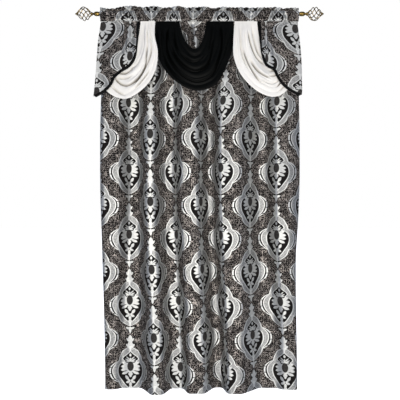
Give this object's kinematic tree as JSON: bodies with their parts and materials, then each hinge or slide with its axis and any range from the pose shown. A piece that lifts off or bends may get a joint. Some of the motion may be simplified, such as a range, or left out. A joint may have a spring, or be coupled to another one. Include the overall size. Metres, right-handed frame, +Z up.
{
  "type": "blackout curtain with attached valance on a curtain rod",
  "caption": "Damask curtain gathered by its rod pocket on a slim brass rod with cage finials, with a swagged valance sewn below the heading.",
  "frame": {"origin": "on the rod's axis, at the middle of its length", "axes": "+Z up, +X along the rod to the right of someone who looks at the curtain's front, and the front faces -Y"},
  "size_m": [1.3832, 0.1586, 2.138],
  "materials": {
    "brass": "aged brass, softly polished on its edges",
    "damask": "black, taupe and white jacquard with an ogee medallion repeat",
    "white_crepe": "soft white crepe",
    "black_crepe": "soft black crepe",
    "binding": "black satin binding strip"
  },
  "bodies": {
    "root": {"rod": "brass", "collar_left": "brass", "collar_right": "brass", "cage_left": "brass", "cage_right": "brass", "heading": "damask", "main_panel": "damask", "jabot_left": "damask", "jabot_right": "damask", "binding_left": "binding", "binding_right": "binding", "swag_left": "white_crepe", "swag_centre": "black_crepe", "swag_right": "white_crepe"}
  },
  "joints": []
}
